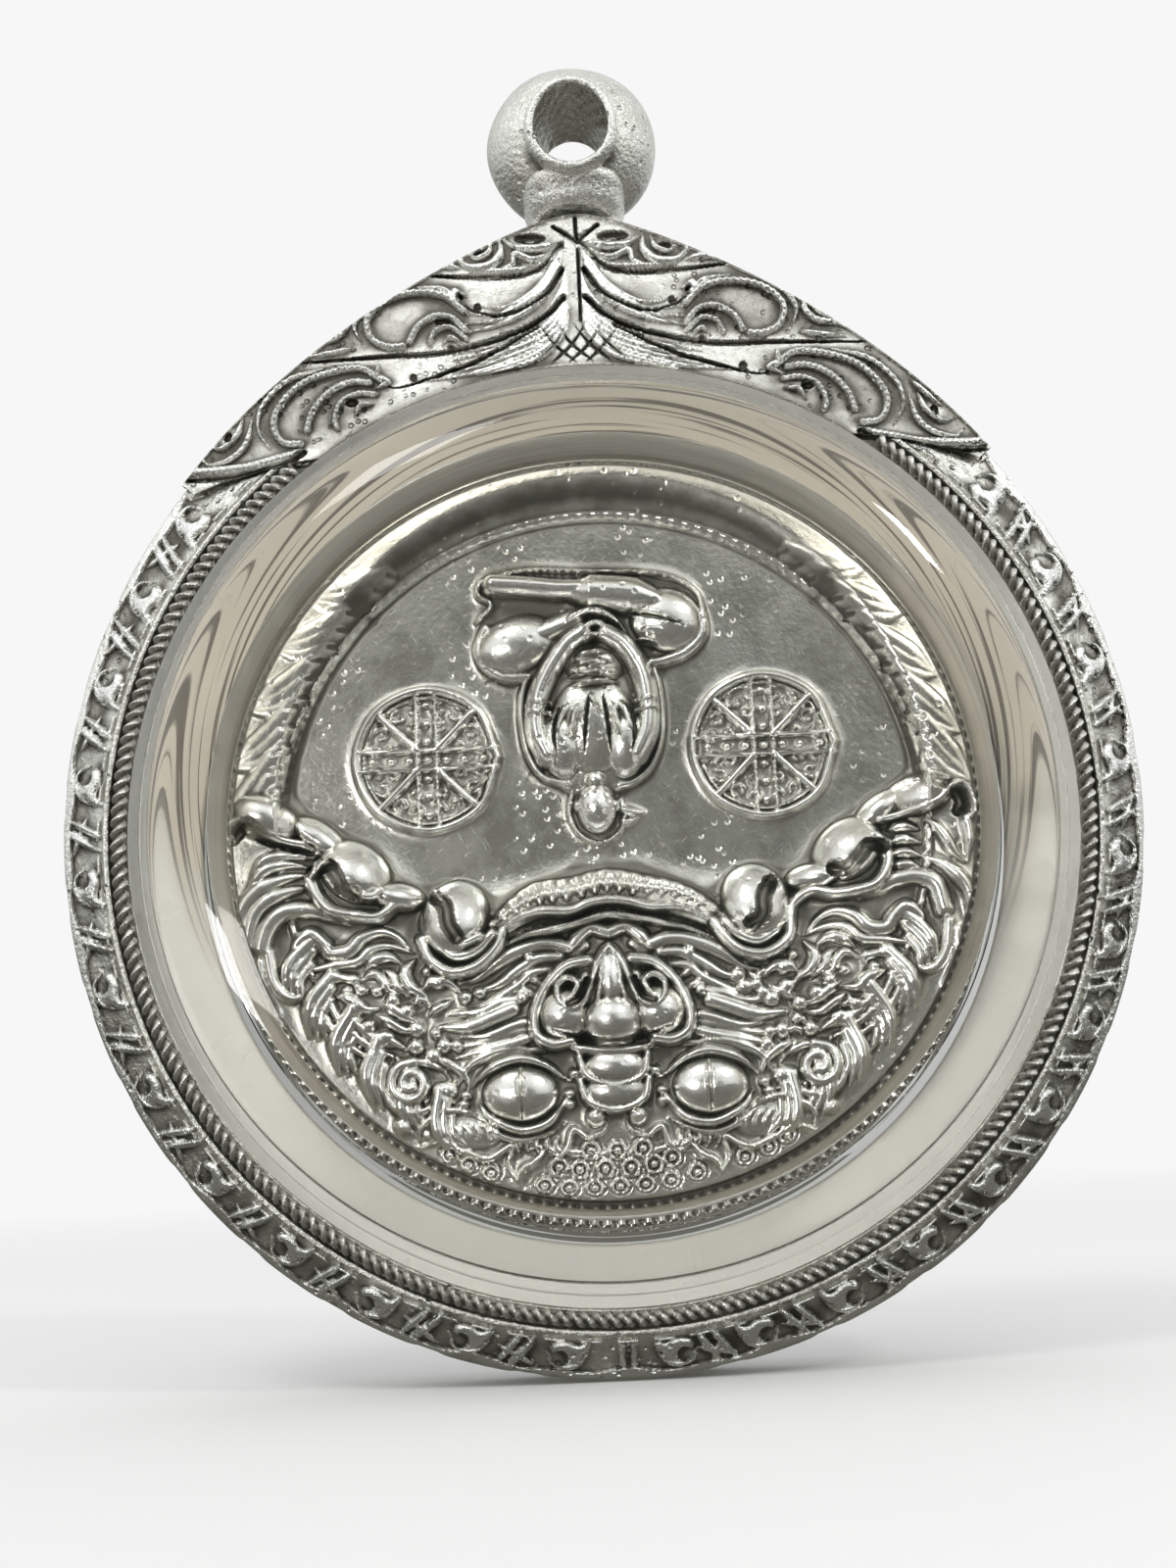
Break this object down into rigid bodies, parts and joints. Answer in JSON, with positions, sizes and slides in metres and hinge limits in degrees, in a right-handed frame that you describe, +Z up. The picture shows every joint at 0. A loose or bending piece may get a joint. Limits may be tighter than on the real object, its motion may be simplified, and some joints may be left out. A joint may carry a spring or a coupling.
{
  "type": "amulet pendant",
  "caption": "Round medal with a high relief, sealed in a clear domed case, in an engraved metal frame with a leaf-shaped crest and a pierced ball bail.",
  "frame": {"origin": "centre of the hole through the bail ball, where the chain passes", "axes": "+X to the right seen from the front, +Z up along the pendant as it hangs, the front faces -Y"},
  "size_m": [0.0482, 0.0113, 0.0606],
  "materials": {
    "silver": "engraved silver, oxidised in the recesses and worn bright on the high parts",
    "polished_silver": "polished silver",
    "medal_silver": "struck silver, bright on the high parts and dark in the field",
    "acrylic": "clear polished acrylic",
    "sealant": "cloudy sealant, cured"
  },
  "bodies": {
    "root": {"front_frame": "silver", "back_frame": "silver", "edge_band": "silver", "front_crest": "silver", "back_crest": "silver", "front_rope_wire": "polished_silver", "back_rope_wire": "polished_silver", "front_window": "acrylic", "back_window": "acrylic", "seal_ring": "sealant", "medal": "medal_silver", "bail_ball": "polished_silver", "bail_tube": "polished_silver", "bail_foot": "polished_silver"}
  },
  "joints": []
}
